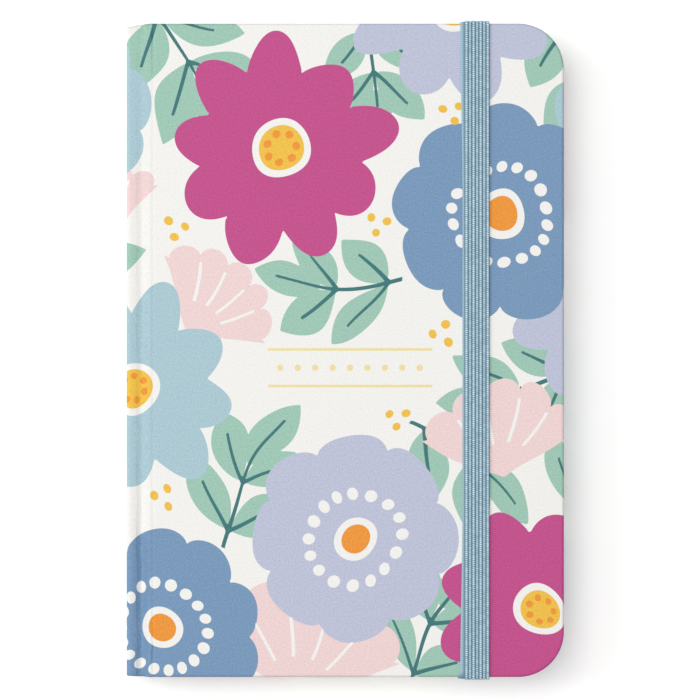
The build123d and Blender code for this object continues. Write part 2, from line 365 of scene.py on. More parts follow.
def smooth(value):
    """Smooth step from 0 to 1."""
    held = np.clip(value, 0, 1)
    return held * held * (3 - 2 * held)


def grid_quads(rows, columns, start=0):
    """Faces of a grid of points stored row by row."""
    corner = (np.arange(rows - 1)[:, None] * columns + np.arange(columns - 1)).ravel() + start
    return np.stack([corner, corner + columns, corner + columns + 1, corner + 1], axis=1).tolist()


def strip_quads(first, second):
    """Faces between two equal rows of point numbers."""
    return np.stack([first[:-1], second[:-1], second[1:], first[1:]], axis=1).tolist()


def tube_faces(rows, columns):
    """Faces of a ring of points carried along a path, row by row, with a flat face at each end."""
    number = np.arange(rows * columns).reshape(rows, columns)
    sides = grid_quads(rows, columns) + strip_quads(number[:, -1], number[:, 0])
    return sides + [number[0].tolist(), number[-1].tolist()]


def make_piece(name, points, faces, material):
    """Mesh object from points in millimetres; closed shells get their normals turned outwards."""
    mesh = bpy.data.meshes.new(name)
    mesh.from_pydata((np.asarray(points) * MM).tolist(), [], faces)
    work = bmesh.new()
    work.from_mesh(mesh)
    bmesh.ops.recalc_face_normals(work, faces=work.faces)
    work.to_mesh(mesh)
    work.free()
    mesh.shade_smooth()
    mesh.materials.append(material)
    piece = bpy.data.objects.new(name, mesh)
    bpy.context.scene.collection.objects.link(piece)
    return piece


def point_field(piece, name, values):
    """Stores one number per point on the mesh."""
    layer = piece.data.attributes.new(name, "FLOAT", "POINT")
    layer.data.foreach_set("value", np.asarray(values, np.float32).ravel())


def sharpen(piece, degrees):
    """Keeps edges sharper than the angle crisp while the rest shades smoothly."""
    piece.data.set_sharp_from_angle(angle=np.radians(degrees))


def slab(top, bottom):
    """Closed thin solid between two grids of equal shape, joined along their four borders."""
    rows, columns = top.shape[:2]
    count = rows * columns
    number = np.arange(count).reshape(rows, columns)
    border = np.concatenate([number[0, :-1], number[:-1, -1], number[-1, :0:-1], number[:0:-1, 0],
                             number[0, :1]])
    points = np.concatenate([top.reshape(-1, 3), bottom.reshape(-1, 3)])
    under = np.array(grid_quads(rows, columns, count))[:, ::-1].tolist()
    faces = grid_quads(rows, columns) + under + strip_quads(border, border + count)
    return points, faces


# Print: every motif is a field over the flat sheet (across, up), positive inside and about one per mm. The
# lists give a motif's ink where it varies, its centre and size in mm, its turn in degrees and, for flowers,
# its petals or lobes.

PRINT_ORDER = ["leaf", "rib", "pink", "lilac", "sky", "blue", "magenta", "cream", "mustard", "orange",
               "foil"]
DAISIES = [("lilac", (25, 79), 24, 20, 8), ("sky", (-49, -9), 25, 30, 9), ("magenta", (-15, 46), 27, 12, 9),
           ("magenta", (45, -59.5), 25, 0, 9), ("lilac", (-77, 10), 22, 0, 9)]
SCALLOPED = [("sky", (-66, 56), 22, 5, 8), ("blue", (36, 31), 25, 10, 9), ("lilac", (2, -43), 24, 0, 8),
             ("blue", (-42, -64), 23, 15, 9)]
FANS = [((-35, 5), 19, 50), ((37, -29), 22, 95), ((-12, -80), 27, 80), ((-54, 27), 16, 105),
        ((-70, -40), 18, 40), ((-86, 34), 17, 80)]
SPRIGS = [((13, 16), 33, 176), ((-28, -45), 35, 62), ((53, -3), 33, 196), ((14, -78), 36, 58),
          ((-47, 79), 38, -60), ((15, -17), 34, -40), ((4, 77), 31, -88), ((-67, 6), 32, 60),
          ((-72, -72), 36, 70), ((-83, -40), 34, 60), ((-88, 78), 36, -75)]
DOTS = [((-39, 28), 15), ((24, 55), 40), ((23, 4), 70), ((12, -16), 30), ((-42, -34), 55), ((-67, -71), 5),
        ((8, 29), 10)]


def turned(across, up, centre, angle, repeat):
    """Sheet coordinates about a motif's centre, turned to its own direction; the sheet repeats sideways."""
    side = np.mod(across - centre[0] + repeat / 2, repeat) - repeat / 2
    rise = up - centre[1]
    cosine, sine = np.cos(np.radians(angle)), np.sin(np.radians(angle))
    return side * cosine + rise * sine, rise * cosine - side * sine


def folded(along, over, count):
    """Folds the plane into one of count equal sectors: place in the sector and the sector's number."""
    sector = 2 * np.pi / count
    turn = np.arctan2(over, along) + sector / 2
    number = np.floor(turn / sector)
    inside = turn - number * sector - sector / 2
    reach = np.hypot(along, over)
    return reach * np.cos(inside), reach * np.sin(inside), number


def oval(along, over, middle, half_length, half_width):
    """Ellipse on the motif's long axis."""
    span = np.hypot((along - middle) / half_length, over / half_width)
    return (1 - span) * min(half_length, half_width)


def lens(along, over, middle, half_length, half_width):
    """Pointed leaf between two parabolas on the motif's long axis."""
    return half_width * (1 - ((along - middle) / half_length) ** 2) - np.abs(over)


def stroke(along, over, length):
    """Brush line from the origin, tapering evenly to its tip."""
    root_half, taper = 0.46, 0.14
    half = root_half - taper * along / length
    return np.minimum(half - np.abs(over), np.minimum(along, length - along))


def disc(along, over, radius):
    """Plain round: the radius less the distance from the centre."""
    return radius - np.hypot(along, over)


def daisy(along, over, radius, petals):
    """Ring of ellipses in the folded plane; a sine of the petal's number makes them slightly unequal."""
    middle, half_length, half_width = 0.57 * radius, 0.43 * radius, 0.25 * radius
    mean, uneven = 0.96, 0.06
    outward, aside, number = folded(along, over, petals)
    reach = radius * (mean + uneven * np.sin(2.4 * number + radius))
    return oval(outward / reach * radius, aside, middle, half_length, half_width)


def scalloped(along, over, radius, lobes):
    """Round blossom whose rim is drawn in by equal scallops, a power of the absolute cosine round it."""
    depth, fullness = 0.15, 0.6
    turn = np.arctan2(over, along)
    rim = radius * (1 - depth + depth * np.abs(np.cos(lobes * turn / 2)) ** fullness)
    return rim - np.hypot(along, over)


def bead_ring(along, over, ring, bead, count):
    """Equal discs on a circle, drawn in the folded plane."""
    outward, aside, _ = folded(along, over, count)
    return bead - np.hypot(outward - ring, aside)


def fan(along, over, radius):
    """Shell-shaped blossom: a sector whose rim has five scallops, the root of an absolute cosine, and four
    straight rays; returns the shell and its rays."""
    spread, depth, blunt, ray_half = 1.05, 0.14, 0.8, 0.36
    turn = np.arctan2(over, along)
    reach = np.hypot(along, over)
    rim = radius * (1 - depth + depth * np.sqrt(np.abs(np.cos(2.5 * np.pi * turn / spread))))
    side = reach * np.sin(np.clip(spread - np.abs(turn), -1.5, 1.5)) + blunt
    shell = np.minimum(rim - reach, side)
    ray = np.minimum(np.abs(np.abs(turn) - 0.2 * spread), np.abs(np.abs(turn) - 0.6 * spread)) * reach
    rays = np.minimum(ray_half - ray, np.minimum(reach - 0.35 * radius, 0.8 * radius - reach))
    return shell, rays


def sprig(along, over, length):
    """Sprig: two pairs of pointed leaflets on a bowed stem, one more at the tip; returns leaves and ribs."""
    bow, lean = 0.35, np.radians(46)
    half_width = 0.125 * length
    over = over - bow * along * (1 - along / length)
    leaf = lens(along, over, 0.8 * length, 0.24 * length, half_width)
    rib = stroke(along, over, 0.9 * length)
    for foot in length * np.array([0.1, 0.44]):
        reach, away = along - foot, np.abs(over)
        tip = reach * np.cos(lean) + away * np.sin(lean)
        off = away * np.cos(lean) - reach * np.sin(lean)
        leaf = np.maximum(leaf, lens(tip, off, 0.26 * length, 0.25 * length, half_width))
        rib = np.maximum(rib, stroke(tip, off, 0.34 * length))
    return leaf, rib


def ink_fields(across, up, repeat):
    """Field of every ink over the sheet; the sheet is warped a little so that shapes look cut by hand.

    Motifs are laid one after another, and each cuts what lies under it out of the other inks.
    """
    across = across + 0.5 * np.sin(0.21 * up + 0.6) + 0.35 * np.sin(0.33 * across + 0.17 * up)
    up = up + 0.5 * np.sin(0.23 * across + 1.9) + 0.35 * np.sin(0.29 * up - 0.15 * across)
    outside, overlap = -50.0, 0.15
    inks = {ink: np.full(across.shape, outside) for ink in PRINT_ORDER}

    def lay(ink, field):
        for other in PRINT_ORDER:
            inks[other] = np.minimum(inks[other], overlap - field)
        inks[ink] = np.maximum(inks[ink], field)

    for centre, length, angle in SPRIGS:
        leaf, rib = sprig(*turned(across, up, centre, angle, repeat), length)
        lay("leaf", leaf)
        lay("rib", rib)
    for centre, radius, angle in FANS:
        shell, rays = fan(*turned(across, up, centre, angle, repeat), radius)
        lay("pink", shell)
        lay("cream", rays)
    for ink, centre, radius, angle, petals in DAISIES:
        along, over = turned(across, up, centre, angle, repeat)
        lay(ink, daisy(along, over, radius, petals))
        lay("cream", disc(along, over, 0.24 * radius))
        lay("mustard", disc(along, over, 0.18 * radius))
        lay("orange", bead_ring(along, over, 0.115 * radius, 0.032 * radius, 7))
    for ink, centre, radius, angle, lobes in SCALLOPED:
        along, over = turned(across, up, centre, angle, repeat)
        lay(ink, scalloped(along, over, radius, lobes))
        lay("cream", bead_ring(along, over, 0.44 * radius, 0.055 * radius, 2 * lobes))
        lay("cream", disc(along, over, 0.22 * radius))
        lay("orange", disc(along, over, 0.15 * radius))
    for centre, angle in DOTS:
        along, over = turned(across, up, centre, angle, repeat)
        lay("mustard", bead_ring(along, over, 2.2, 1.0, 3))
    return inks


def foil_rules(across, up):
    """Two plain rules with a row of dots between them, centred on the front."""
    centre, drop, half_length = 1.1, 4.0, 19.0
    rule_half, rule_away = 0.3, 4.2
    dot_radius, dot_pitch, dot_margin = 0.75, 4.0, 1.0
    aside, rise = np.abs(across - centre), up + drop
    rules = np.minimum(rule_half - np.abs(np.abs(rise) - rule_away), half_length - aside)
    step = np.mod(across - centre + dot_pitch / 2, dot_pitch) - dot_pitch / 2
    dots = np.minimum(dot_radius - np.hypot(step, rise), half_length - dot_margin - aside)
    return np.maximum(rules, dots)


def lay_print(piece, across, up, look, with_foil=False):
    """Puts every ink's field on a piece of the case."""
    inks = ink_fields(across, up, look.repeat / MM)
    if with_foil:
        inks["foil"] = foil_rules(across, up)
    for ink in PRINT_ORDER:
        point_field(piece, "ink_" + ink, inks[ink])


# Case

def crease_pull(y):
    """Strength of the crease along the joint: faint in the middle, full towards the tail and the head, and
    gone at the very ends, where the paper is drawn flat over the board."""
    faint, end_fade = 0.3, 1.5
    tail_reach, tail_fade = 18, 12
    head_reach, head_fade = 13, 9
    tail = smooth((FRONT_LOW[1] + tail_reach - y) / tail_fade)
    head = smooth((y - FRONT_HIGH[1] + head_reach) / head_fade)
    ends = smooth((FRONT_HIGH[1] - np.abs(y)) / end_fade)
    return (faint + (1 - faint) * np.maximum(tail, head)) * ends


def groove_press(y):
    """How hard the groove is pressed, as two smooth steps on a light base: lightly at the head, under half
    in the middle and fully at the tail."""
    base, middle_gain, tail_gain = 0.16, 0.32, 0.52
    middle_from, middle_fade = 62, 45
    tail_from, tail_fade = -20, 32
    middle = smooth((middle_from - y) / middle_fade)
    tail = smooth((tail_from - y) / tail_fade)
    return base + middle_gain * middle + tail_gain * tail


def joint_depth(share, y, look):
    """Depth of the pressed joint at a share of its width: it starts at the spine's rolled shoulder, falls on
    a power curve into the groove, rises by a smooth step towards the board and ends in a fine wavering
    crease. Small puckers, a sine across the joint, fade in over the last millimetres at both ends."""
    foot, fall_power = 0.31, 1.4
    rise, rise_from, rise_width = 0.97, 0.29, 0.58
    crease_from = 0.88
    pucker_depth, pucker_waves, pucker_reach, pucker_margin = 0.11, 2.6, 2.4, 0.2
    press = groove_press(y)
    shoulder = look.shoulder / MM * press
    groove = look.groove / MM * press
    down = np.clip((share + 0.02 * np.sin(0.4 * y)) / foot, 0, 1)
    fall = shoulder + (groove - shoulder) * (1 - (1 - down) ** fall_power)
    climb = rise * groove * smooth((share - rise_from) / rise_width)
    waver = 0.05 * np.sin(0.9 * y) + 0.03 * np.sin(2.3 * y + 1)
    drawn = smooth((share - crease_from - waver) / (1 - crease_from - waver))
    crease = look.crease / MM * crease_pull(y) * drawn
    near = smooth(1 - (FRONT_HIGH[1] - np.abs(y)) / pucker_reach)
    inside = smooth(share / pucker_margin) * smooth((1 - share) / pucker_margin)
    pucker = pucker_depth * near * np.sin(2 * np.pi * pucker_waves * share + 0.6) * inside
    return fall - climb + crease + pucker


def joint_length(look):
    """Length of paper across the joint."""
    share = np.linspace(0, 1, 200)
    across = (FRONT_LOW[0] - SPINE_INNER_X) * share
    return np.hypot(np.diff(across), np.diff(joint_depth(share, 0, look))).sum()


def spine_ends(x):
    """Tail and head end of the spine and joint: both draw in towards the spine's outer face, the tail on a
    line and the head on a power curve."""
    head_draw, head_power, tail_draw = 0.85, 1.2, 0.28
    share = np.clip((x - SPINE_LOW[0]) / (FRONT_LOW[0] - SPINE_LOW[0]), 0, 1)
    head = FRONT_HIGH[1] - head_draw * (1 - share) ** head_power
    tail = FRONT_LOW[1] + tail_draw * (1 - share)
    return tail, head


def spine_roll(x, look):
    """How far the spine's shoulder has rolled down at x: a parabola, steepest beside the groove."""
    start = SPINE_LOW[0] + look.spine_radius / MM
    return look.shoulder / MM * np.clip((x - start) / (SPINE_INNER_X - start), 0, 1) ** 2


def spine_profile(look):
    """Outside of the spine from its front inner corner round to its back inner corner: (x, z, length).

    Half the profile is a shoulder that rolls down to the groove, a quarter round and half the face; the
    other half mirrors it.
    """
    radius = look.spine_radius / MM
    top, outer = SPINE_HIGH[2], SPINE_LOW[0]
    turn = np.linspace(0, np.pi / 2, 9)
    flat = np.linspace(SPINE_INNER_X, outer + radius, 9)[:-1]
    face = np.linspace(top - radius, top / 2, 18)[1:]
    half_x = np.concatenate([flat, outer + radius - radius * np.sin(turn), np.full(face.size, outer)])
    half_z = np.concatenate([top - spine_roll(flat, look), top - radius + radius * np.cos(turn), face])
    x = np.concatenate([half_x, half_x[-2::-1]])
    z = np.concatenate([half_z, top - half_z[-2::-1]])
    length = np.concatenate([[0], np.hypot(np.diff(x), np.diff(z)).cumsum()])
    return x, z, length


def cover_panel(name, flip, material, look):
    """Wrapped cover: a flat face on a grid, then an edge profile carried round three sides to the turn-in.

    The grid's rows follow the plan: half height h(x) is straight, then the corner's circle. The edge
    profile is a quarter round, the board's edge, a second quarter round and the turned-in border. Beside the
    joint the face dips into the crease by a smooth step, over a width that wavers. flip makes the back
    cover, whose face looks down.
    """
    low, high = (BACK_LOW, BACK_HIGH) if flip else (FRONT_LOW, FRONT_HIGH)
    face_z, inner_z, side = (low[2], high[2], -1) if flip else (high[2], low[2], 1)
    radius, corner, cell = look.edge_radius / MM, look.corner_radius / MM, look.cell / MM
    lap, turn_in, rim_shade = 0.02, 4.4, 0.3
    start, fore, head = low[0] - lap, high[0], high[1]
    turn = np.linspace(0, np.pi / 2, 32)
    straight = np.linspace(start, fore - corner, int((fore - corner - start) / cell))
    x = np.concatenate([straight, fore - corner + (corner - radius) * np.sin(turn[1:])])
    half = np.concatenate([np.full(straight.size, head - radius),
                           head - corner + (corner - radius) * np.cos(turn[1:])])
    share = np.linspace(-1, 1, int(2 * head / cell))
    flat_x = np.repeat(x[:, None], share.size, axis=1)
    flat_y = half[:, None] * share
    wide = 0.38 + 0.08 * np.sin(1.1 * flat_y)
    dip = joint_depth(1, flat_y, look) * (1 - smooth((flat_x - start) / wide))
    face = np.stack([flat_x, flat_y, face_z - side * dip], axis=2)

    number = np.arange(flat_x.size).reshape(flat_x.shape)
    border = np.concatenate([number[:, 0], number[-1, 1:-1], number[::-1, -1]])
    lean = np.concatenate([np.zeros(straight.size), turn[1:]])
    normal_x = np.concatenate([np.sin(lean), np.ones(share.size - 2), np.sin(lean)[::-1]])
    normal_y = np.concatenate([-np.cos(lean), np.zeros(share.size - 2), np.cos(lean)[::-1]])
    rim = face.reshape(-1, 3)[border]

    bend = np.linspace(0, np.pi / 2, 6)
    back = bend[::2]
    inward = np.linspace(0, turn_in, 9)[1:]
    thick = abs(face_z - inner_z)
    out = np.concatenate([radius * np.sin(bend[1:]), [radius], radius * np.cos(back), -inward])
    drop = np.concatenate([radius * (1 - np.cos(bend[1:])), [thick / 2],
                           thick - radius + radius * np.sin(back), np.full(inward.size, thick)])
    # Painted shade round the rim: it grows over the first quarter round, eases on the board's side and fades
    # over the second round; none on the face or turn-in.
    painted_darkening = np.concatenate([np.sin(bend[1:]) ** 2, [rim_shade], np.cos(back) ** 2, np.zeros(inward.size)])
    length = np.hypot(np.diff(np.r_[0, out]), np.diff(np.r_[0, drop])).cumsum()
    edge = np.stack([rim[:, 0] + out[:, None] * normal_x, rim[:, 1] + out[:, None] * normal_y,
                     rim[:, 2] - side * drop[:, None]], axis=2)
    edge[-inward.size:, :, 2] = inner_z

    points = np.concatenate([face.reshape(-1, 3), edge.reshape(-1, 3)])
    ring = np.arange(border.size)
    rows = [border] + [number.size + step * ring.size + ring for step in range(out.size)]
    faces = grid_quads(*flat_x.shape)
    for upper, lower in zip(rows[:-1], rows[1:]):
        faces += strip_quads(upper, lower)
    faces.append(rows[-1].tolist())
    joint_side = list(number[0, :]) + [row[-1] for row in rows[1:]] + [row[0] for row in rows[:0:-1]]
    faces.append([int(place) for place in joint_side])

    piece = make_piece(name, points, faces, material)
    sharpen(piece, 50)
    sheet_x = np.concatenate([flat_x.ravel(), (rim[:, 0] + length[:, None] * normal_x).ravel()])
    sheet_y = np.concatenate([flat_y.ravel(), (rim[:, 1] + length[:, None] * normal_y).ravel()])
    if flip:
        around = 2 * joint_length(look) + spine_profile(look)[2][-1]
        sheet_x = 2 * FRONT_LOW[0] - around - sheet_x
    lay_print(piece, sheet_x, sheet_y, look, with_foil=not flip)
    # Painted shade along the crease beside the joint and round the rim.
    painted_shade = np.concatenate([crease_shade(flat_x, flat_y).ravel(), np.repeat(painted_darkening, ring.size)])
    point_field(piece, "painted_shade", painted_shade)
    return piece


def end_shade(y, tail, head):
    """Painted shade: a darker line at both ends of the spine and joints, a smooth step from the end inwards.
    """
    width = 0.5
    return smooth(1 - np.minimum(y - tail, head - y) / width)


def crease_shade(x, y):
    """Painted shade: a fine darker line where the paper creases at the board's edge, a smooth step to both
    sides.
    """
    strength, width = 0.35, 0.35
    return strength * crease_pull(y) * smooth(1 - np.abs(x - FRONT_LOW[0]) / width)


def joint_paper(name, flip, material, look):
    """Paper over one joint: the pressed profile carried from tail to head, with slanting ends."""
    share = np.linspace(0, 1, 36)
    x = SPINE_INNER_X + (FRONT_LOW[0] - SPINE_INNER_X) * share
    tail, head = spine_ends(x)
    up = np.linspace(0, 1, int((FRONT_HIGH[1] - FRONT_LOW[1]) / (look.cell / MM)))
    y = tail[:, None] + (head - tail)[:, None] * up
    depth = joint_depth(share[:, None], y, look)
    face_z = depth if flip else FRONT_HIGH[2] - depth
    paper = 0.2
    wide = np.repeat(x[:, None], up.size, axis=1)
    top = np.stack([wide, y, face_z], axis=2)
    points, faces = slab(top, top + np.array([0, 0, paper if flip else -paper]))
    piece = make_piece(name, points, faces, material)
    sharpen(piece, 60)
    run = np.concatenate([[0], np.hypot(np.diff(x), np.diff(joint_depth(share, 0, look))).cumsum()])
    sheet = FRONT_LOW[0] - run[-1] + run
    if flip:
        sheet = FRONT_LOW[0] - run[-1] - spine_profile(look)[2][-1] - run
    sheet = np.repeat(sheet[:, None], up.size, axis=1)
    lay_print(piece, np.tile(sheet.ravel(), 2), np.tile(y.ravel(), 2), look)
    # Painted shade at both ends and along the crease.
    painted_shade = np.maximum(end_shade(y, tail[:, None], head[:, None]), crease_shade(wide, y))
    point_field(piece, "painted_shade", np.tile(painted_shade.ravel(), 2))
    return piece


def spine_piece(material, look):
    """Wrapped spine: its rounded profile carried from tail to head, drawn in by a quarter round at both ends,
    and closed by a flat inner face, so that the print turns over the ends onto it."""
    x, z, length = spine_profile(look)
    radius, turned_in, wrap, shoulder_width = 0.35, 2.0, 0.3, 1.2
    bend = np.linspace(0, np.pi / 2, 5)
    draw = radius * (1 - np.sin(bend))
    lift = radius * (1 - np.cos(bend))
    tail, head = spine_ends(x)
    body = np.linspace(0, 1, int((FRONT_HIGH[1] - FRONT_LOW[1]) / (look.cell / MM)))[1:-1]
    rows_y = np.concatenate([tail + lift[:, None],
                             tail + radius + body[:, None] * (head - tail - 2 * radius),
                             head - lift[::-1, None]])
    pull = np.concatenate([draw, np.zeros(body.size), draw[::-1]])[:, None]
    middle = SPINE_HIGH[2] / 2
    side_x = smooth((SPINE_INNER_X - x) / shoulder_width)
    side_z = ((z - middle) / middle) ** 9
    slack = (1 - groove_press(rows_y)) * spine_roll(x, look) * np.sign(z - middle)
    outer = np.stack([x + pull * side_x, rows_y, z + slack - pull * side_z], axis=2)
    inner_z = np.tile(np.linspace(z[0] - wrap, z[-1] + wrap, z.size), (len(rows_y), 1))
    inner = np.stack([np.full(rows_y.shape, SPINE_INNER_X), rows_y, inner_z], axis=2)
    points, faces = slab(outer, inner)
    piece = make_piece("spine_print", points, faces, material)
    sharpen(piece, 50)
    sheet = FRONT_LOW[0] - joint_length(look) - np.tile(length, (len(rows_y), 1))
    folded_y = rows_y.copy()
    folded_y[0] -= turned_in
    folded_y[-1] += turned_in
    lay_print(piece, np.tile(sheet.ravel(), 2), np.concatenate([rows_y.ravel(), folded_y.ravel()]), look)
    # Painted shade at both ends of the spine.
    point_field(piece, "painted_shade", np.tile(end_shade(rows_y, tail, head).ravel(), 2))
    return piece


class BuildCase(bpy.types.Operator):
    """Builds the printed cover papers: two panels, two joints and the spine"""
    bl_idname = "address_book.case"
    bl_label = "Case"

    def execute(self, context):
        look = context.scene.book_print
        paper = printed_paper(look)
        front = cover_panel("front_cover_print", False, paper, look)
        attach(front, "front_cover")
        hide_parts("front_cover_paper", "front_board_filler")
        back = cover_panel("back_cover_print", True, paper, look)
        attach(back, ROOT)
        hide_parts("back_cover_paper", "back_board_filler")
        spine = spine_piece(paper, look)
        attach(spine, ROOT)
        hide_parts("spine_cover_paper", "spine_board")
        back_joint = joint_paper("back_joint_print", True, paper, look)
        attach(back_joint, ROOT)
        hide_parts("back_joint_paper")
        front_joint = joint_paper("front_joint_print", False, paper, look)
        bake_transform(front_joint)
        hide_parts("front_joint_paper")
        return {"FINISHED"}


# Strap

def strap_route(step):
    """Middle line of the strap from the tail over the front to the head: y, z, the angle of its outward
    normal and the length run so far.

    Straight runs joined by quarter circles, sampled at equal lengths by interpolation.
    """
    thick, bend, edge, tuck = 0.7, 0.6, 0.85, 0.6
    out_y = STRAP_HIGH[1] - thick / 2
    top_z = STRAP_HIGH[2] - thick / 2
    low_z = STRAP_LOW[2] + thick / 2
    turn = np.linspace(0, np.pi / 2, 24)
    half_y = np.concatenate([[0, out_y - edge], out_y - edge + edge * np.sin(turn), [out_y],
                             out_y - bend + bend * np.cos(turn), [out_y - bend - tuck]])
    half_z = np.concatenate([[top_z, top_z], top_z - edge + edge * np.cos(turn), [low_z + bend],
                             low_z + bend - bend * np.sin(turn), [low_z]])
    lean = np.concatenate([[0, 0], turn, [np.pi / 2], np.pi / 2 + turn, [np.pi]])
    y = np.concatenate([-half_y[::-1], half_y[1:]])
    z = np.concatenate([half_z[::-1], half_z[1:]])
    angle = np.concatenate([-lean[::-1], lean[1:]])
    length = np.concatenate([[0], np.hypot(np.diff(y), np.diff(z)).cumsum()])
    even = np.arange(0, length[-1], step)
    return np.interp(even, length, y), np.interp(even, length, z), np.interp(even, length, angle), even


def strap_mesh(look):
    """Ribbed ribbon: a profile of half-round cords carried along the route, with stitches along each cord.

    height = base + crest * sqrt(1 - t^2) across a cord, times a stitch wave along it; the wave slants
    across each cord, as thread wound round it does, and starts at another place on the next one. The tone,
    from 0 dark to 1 light, is painted shade and highlight: it follows the crests and stitches, and every
    second cord, which stands higher, is lighter. The darker selvedge, seam and underside are painted shade
    too.
    """
    pitch = look.rib_pitch / MM
    stitch = look.stitch_pitch / MM
    y, z, angle, run = strap_route(stitch / 4)
    cords, samples = 7, 6
    base, low_crest, crest_gain, dent = 0.05, 0.22, 0.08, 0.45
    next_start, wind = 0.41, 0.3
    # Painted shade in the seam beside the selvedge.
    proud, seam_shade = 0.09, 0.2
    neck_end, neck_fade = 75, 40
    flare_from, flare_fade, flare_width = 73.5, 2, 0.6
    across = np.linspace(0, cords, samples * cords + 1)
    cord = np.minimum(across.astype(int), cords - 1)
    crest = np.sqrt(np.clip(1 - (2 * (across - cord) - 1) ** 2, 0, 1))
    bright = 1 - cord % 2
    bead = np.floor(run / stitch).astype(int)
    uneven = np.random.default_rng(3).uniform(0.86, 1.1, (bead.max() + 1, cords))[bead][:, cord]
    slant = next_start * cord + wind * (across - cord)
    wave = 0.5 + 0.5 * np.cos(2 * np.pi * (run[:, None] / stitch + slant))
    hem = 0.5 + 0.5 * np.cos(2 * np.pi * run[:, None] / stitch)
    # Painted shade and highlight: the tone falls across each cord with its height and between the stitches;
    # every second cord is lighter.
    beads = (1 - (0.46 + 0.22 * bright) * (1 - wave)) * uneven
    height = base + (low_crest + crest_gain * bright) * crest * (1 - dent * (1 - wave))
    shaded_tone = crest ** (1.3 + 0.5 * bright) * (0.84 + 0.26 * bright) * beads
    shaded_tone[:, 0] = seam_shade

    front_run = z > FRONT_HIGH[2] - 0.2
    neck = look.neck / MM * smooth((neck_end - np.abs(y)) / neck_fade) * front_run
    flare = smooth((-y - flare_from) / flare_fade) * front_run
    left = (STRAP_LOW[0] + neck - flare_width * flare)[:, None]
    # Painted shade: the selvedge is darker where it lies lower and towards the flared tail corner, and the
    # underside is dark.
    edge_level, selvedge_shade = np.array([-0.3, -0.05, 0.02]), np.array([0.4, 0.7, 0.55])
    under_level, under_shade = np.full(4, -0.35), np.full(4, 0.3)
    whole = np.ones((run.size, 1))
    level = np.concatenate([whole * edge_level, height, whole * under_level], axis=1)
    selvedge = selvedge_shade * (1 - 0.6 * flare[:, None]) * (0.75 + 0.35 * hem)
    shaded_tones = np.concatenate([selvedge, shaded_tone, whole * under_shade], axis=1)
    last = STRAP_HIGH[0] + proud
    first = last - cords * pitch
    x = np.concatenate([left, left, (left + first) / 2, whole * (first + pitch * across),
                        whole * np.array([last, last - 2, first]), left], axis=1)
    points = np.stack([x, y[:, None] + level * np.sin(angle)[:, None],
                       z[:, None] + level * np.cos(angle)[:, None]], axis=2)
    return points.reshape(-1, 3), tube_faces(*x.shape), shaded_tones


class BuildStrap(bpy.types.Operator):
    """Builds the ribbed elastic strap, which lies flat on the back once it is released"""
    bl_idname = "address_book.strap"
    bl_label = "Strap"

    def execute(self, context):
        look = context.scene.book_strap
        points, faces, shaded_tones = strap_mesh(look)
        strap = make_piece("elastic_strap_knit", points, faces, knitted_elastic(look))
        point_field(strap, "shaded_tone", shaded_tones)
        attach(strap, "elastic_strap")
        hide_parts("elastic_strap", "strap_anchor_head", "strap_anchor_tail")
        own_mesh(strap)
        return {"FINISHED"}


# Leaves

def leaf_outline(tab_bottom, look):
    """Fore-edge of a leaf as (x, y) from tail to head: corner circles, straight runs and the tab's step.

    tab_bottom is the height below which the leaf is cut back, or None for a full leaf.
    """
    fore, head = LEAF_HIGH[0], LEAF_HIGH[1]
    corner, small, deep = look.corner_radius / MM, look.tab_radius / MM, look.tab_depth / MM
    turn = np.linspace(0, np.pi / 2, 9)
    if tab_bottom is None:
        x = [fore - corner + corner * np.sin(turn), np.full(10, fore)]
        y = [-head + corner - corner * np.cos(turn), np.linspace(-head + corner, head - corner, 12)[1:-1]]
    else:
        cut = fore - deep
        x = [cut - small + small * np.sin(turn), np.full(10, cut), cut + small - small * np.cos(turn),
             fore - small + small * np.sin(turn), np.full(4, fore)]
        y = [-head + small - small * np.cos(turn),
             np.linspace(-head + small, tab_bottom - small, 12)[1:-1],
             tab_bottom - small + small * np.sin(turn), tab_bottom + small - small * np.cos(turn),
             np.linspace(tab_bottom + small, head - corner, 6)[1:-1]]
    x.append(fore - corner + corner * np.cos(turn))
    y.append(head - corner + corner * np.sin(turn))
    return np.concatenate(x), np.concatenate(y)


def leaf_sheet(edge_x, edge_y, back_x, bend_to, low, thick):
    """One leaf as a thin solid: its rows run along the fore-edge's outline, and are carried from the fold to
    the fore-edge, close together in the gutter."""
    gutter = np.linspace(back_x, bend_to, 24)
    share = np.linspace(0, 1, 6)[1:]
    x = np.concatenate([np.repeat(gutter[:, None], edge_x.size, axis=1),
                        bend_to + share[:, None] * (edge_x - bend_to)])
    y = np.repeat(edge_y[None, :], x.shape[0], axis=0)
    top = np.stack([x, y, np.full(x.shape, low + thick)], axis=2)
    bottom = np.stack([x, y, np.full(x.shape, low)], axis=2)
    return slab(top, bottom)


def leaf_stack(name, outline, hinge_x, low, high, material, look, random):
    """A section's leaves, one above the other, each trimmed a little differently at its edges."""
    edge_trim, end_trim, sheet_share, back_gap = 0.12, 0.0012, 0.9, 0.05
    points, faces = [], []
    pitch = (high - low) / look.leaves
    total = 0
    for leaf in range(look.leaves):
        edge_x = outline[0] - random.uniform(0, edge_trim)
        edge_y = outline[1] * (1 - random.uniform(0, end_trim))
        sheet = leaf_sheet(edge_x, edge_y, FOLD_LOW[0] + back_gap, hinge_x + look.bend / MM,
                           low + leaf * pitch, sheet_share * pitch)
        faces += [[place + total for place in face] for face in sheet[1]]
        total += len(sheet[0])
        points.append(sheet[0])
    points = np.concatenate(points)
    piece = make_piece(name, points, faces, material)
    sharpen(piece, 40)
    layer = piece.data.uv_layers.new(name="sheet")
    corner = np.empty(len(piece.data.loops), np.int32)
    piece.data.loops.foreach_get("vertex_index", corner)
    layer.data.foreach_set("uv", points[corner, :2].astype(np.float32).ravel())
    return piece, points


